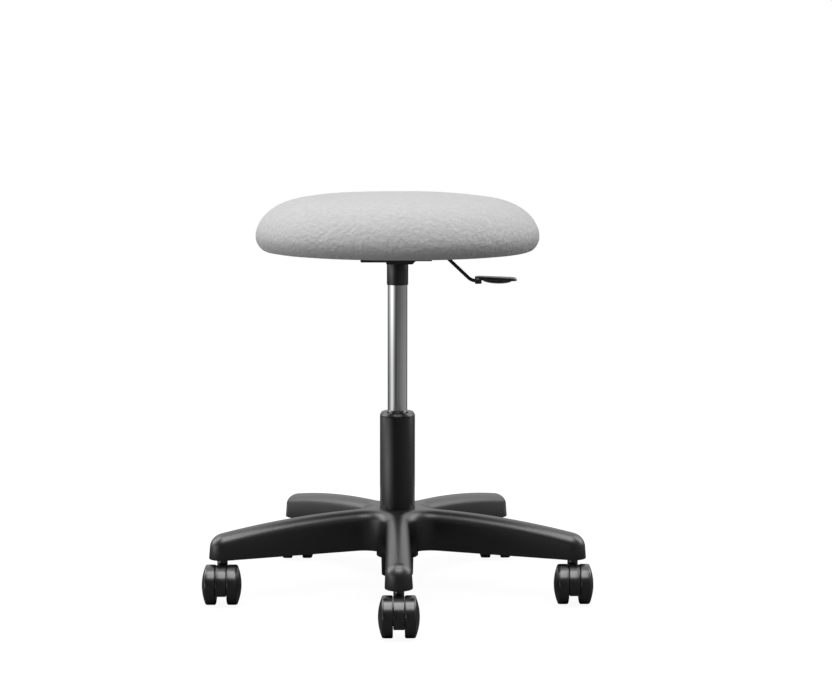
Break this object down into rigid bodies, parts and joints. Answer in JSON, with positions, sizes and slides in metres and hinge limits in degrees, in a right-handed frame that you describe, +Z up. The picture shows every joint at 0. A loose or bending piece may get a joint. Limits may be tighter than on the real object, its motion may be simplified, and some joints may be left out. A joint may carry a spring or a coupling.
{
  "type": "perch stool",
  "caption": "Round upholstered stool on a gas spring column with a release lever, a star base of hollow arms and twin-wheel swivel casters.",
  "frame": {"origin": "on the floor, under the middle of the whole footprint; the column's axis stands 38.2 mm from it along +Y", "axes": "+Z up; -Y to the front, along the front arm; +X to the lever's side"},
  "size_m": [0.5454, 0.5311, 0.5673],
  "materials": {
    "black_nylon": "fine moulded texture, satin",
    "black_plastic": "moulded, satin",
    "black_steel": "black powder coat, satin",
    "chrome": "bright chrome, polished",
    "plain_steel": "zinc plated",
    "rubber": "matt",
    "grey_cloth": "felted wool cloth, light grey",
    "black_cloth": "non-woven, black",
    "foam": "moulded foam",
    "plywood": "beech plywood, plain"
  },
  "bodies": {
    "base": {"star_base": "black_nylon", "column_outer_tube": "black_steel", "guide_bush": "black_plastic", "foot_plate": "plain_steel", "lower_race": "plain_steel", "ball_cage": "plain_steel"},
    "spindle": {"piston_rod": "plain_steel", "piston": "black_plastic", "upper_race": "plain_steel", "rubber_bumper": "rubber", "tip_washer": "plain_steel", "retaining_clip": "plain_steel"},
    "seat": {"pressure_tube": "chrome", "rod_seal": "rubber", "valve_body": "black_plastic", "plate_socket": "black_steel", "seat_plate": "black_steel", "lever_bush": "black_plastic", "seat_board": "plywood", "foam_pad": "foam", "seat_cover": "grey_cloth", "underside_cloth": "black_cloth", "tee_nut_1": "plain_steel", "plate_screw_1": "plain_steel", "tee_nut_2": "plain_steel", "plate_screw_2": "plain_steel", "tee_nut_3": "plain_steel", "plate_screw_3": "plain_steel", "tee_nut_4": "plain_steel", "plate_screw_4": "plain_steel"},
    "lever": {"lever_rod": "black_steel", "lever_paddle": "black_plastic"},
    "valve_pin": {"release_pin": "plain_steel"},
    "caster_1": {"caster_stem_1": "plain_steel", "caster_body_1": "black_plastic", "caster_axle_1": "plain_steel"},
    "left_wheel_1": {"wheel_left_1": "black_plastic"},
    "right_wheel_1": {"wheel_right_1": "black_plastic"},
    "caster_2": {"caster_stem_2": "plain_steel", "caster_body_2": "black_plastic", "caster_axle_2": "plain_steel"},
    "left_wheel_2": {"wheel_left_2": "black_plastic"},
    "right_wheel_2": {"wheel_right_2": "black_plastic"},
    "caster_3": {"caster_stem_3": "plain_steel", "caster_body_3": "black_plastic", "caster_axle_3": "plain_steel"},
    "left_wheel_3": {"wheel_left_3": "black_plastic"},
    "right_wheel_3": {"wheel_right_3": "black_plastic"},
    "caster_4": {"caster_stem_4": "plain_steel", "caster_body_4": "black_plastic", "caster_axle_4": "plain_steel"},
    "left_wheel_4": {"wheel_left_4": "black_plastic"},
    "right_wheel_4": {"wheel_right_4": "black_plastic"},
    "caster_5": {"caster_stem_5": "plain_steel", "caster_body_5": "black_plastic", "caster_axle_5": "plain_steel"},
    "left_wheel_5": {"wheel_left_5": "black_plastic"},
    "right_wheel_5": {"wheel_right_5": "black_plastic"}
  },
  "joints": [
    {"name": "seat_turn", "type": "hinge", "parent": "base", "child": "spindle", "pos_m": [0, 0.03822, 0.03], "axis": [0, 0, 1], "continuous": true},
    {"name": "seat_height", "type": "slide", "parent": "spindle", "child": "seat", "axis": [0, 0, 1], "range_m": [-0.13, 0]},
    {"name": "lever_lift", "type": "hinge", "parent": "seat", "child": "lever", "pos_m": [0.047, 0.03822, 0.4805], "axis": [0, -1, 0], "range_deg": [0, 5], "stiffness_Nm_per_rad": 3, "springref_deg": -2.86},
    {"name": "pin_press", "type": "slide", "parent": "seat", "child": "valve_pin", "axis": [0, 0, 1], "range_m": [-0.0045, 0]},
    {"name": "caster_swivel_1", "type": "hinge", "parent": "base", "child": "caster_1", "pos_m": [0, -0.21958, 0.0615], "axis": [0, 0, 1], "continuous": true},
    {"name": "wheel_spin_left_1", "type": "hinge", "parent": "caster_1", "child": "left_wheel_1", "pos_m": [0, -0.23758, 0.028], "axis": [1, 0, 0], "continuous": true},
    {"name": "wheel_spin_right_1", "type": "hinge", "parent": "caster_1", "child": "right_wheel_1", "pos_m": [0, -0.23758, 0.028], "axis": [1, 0, 0], "continuous": true},
    {"name": "caster_swivel_2", "type": "hinge", "parent": "base", "child": "caster_2", "pos_m": [0.24518, -0.04145, 0.0615], "axis": [0, 0, 1], "continuous": true},
    {"name": "wheel_spin_left_2", "type": "hinge", "parent": "caster_2", "child": "left_wheel_2", "pos_m": [0.24518, -0.05945, 0.028], "axis": [1, 0, 0], "continuous": true},
    {"name": "wheel_spin_right_2", "type": "hinge", "parent": "caster_2", "child": "right_wheel_2", "pos_m": [0.24518, -0.05945, 0.028], "axis": [1, 0, 0], "continuous": true},
    {"name": "caster_swivel_3", "type": "hinge", "parent": "base", "child": "caster_3", "pos_m": [0.15153, 0.24678, 0.0615], "axis": [0, 0, 1], "continuous": true},
    {"name": "wheel_spin_left_3", "type": "hinge", "parent": "caster_3", "child": "left_wheel_3", "pos_m": [0.15153, 0.22878, 0.028], "axis": [1, 0, 0], "continuous": true},
    {"name": "wheel_spin_right_3", "type": "hinge", "parent": "caster_3", "child": "right_wheel_3", "pos_m": [0.15153, 0.22878, 0.028], "axis": [1, 0, 0], "continuous": true},
    {"name": "caster_swivel_4", "type": "hinge", "parent": "base", "child": "caster_4", "pos_m": [-0.15153, 0.24678, 0.0615], "axis": [0, 0, 1], "continuous": true},
    {"name": "wheel_spin_left_4", "type": "hinge", "parent": "caster_4", "child": "left_wheel_4", "pos_m": [-0.15153, 0.22878, 0.028], "axis": [1, 0, 0], "continuous": true},
    {"name": "wheel_spin_right_4", "type": "hinge", "parent": "caster_4", "child": "right_wheel_4", "pos_m": [-0.15153, 0.22878, 0.028], "axis": [1, 0, 0], "continuous": true},
    {"name": "caster_swivel_5", "type": "hinge", "parent": "base", "child": "caster_5", "pos_m": [-0.24518, -0.04145, 0.0615], "axis": [0, 0, 1], "continuous": true},
    {"name": "wheel_spin_left_5", "type": "hinge", "parent": "caster_5", "child": "left_wheel_5", "pos_m": [-0.24518, -0.05945, 0.028], "axis": [1, 0, 0], "continuous": true},
    {"name": "wheel_spin_right_5", "type": "hinge", "parent": "caster_5", "child": "right_wheel_5", "pos_m": [-0.24518, -0.05945, 0.028], "axis": [1, 0, 0], "continuous": true}
  ],
  "couplings": [
    {"joint": "pin_press", "follows": "lever_lift", "m_per_rad": -0.0495}
  ]
}
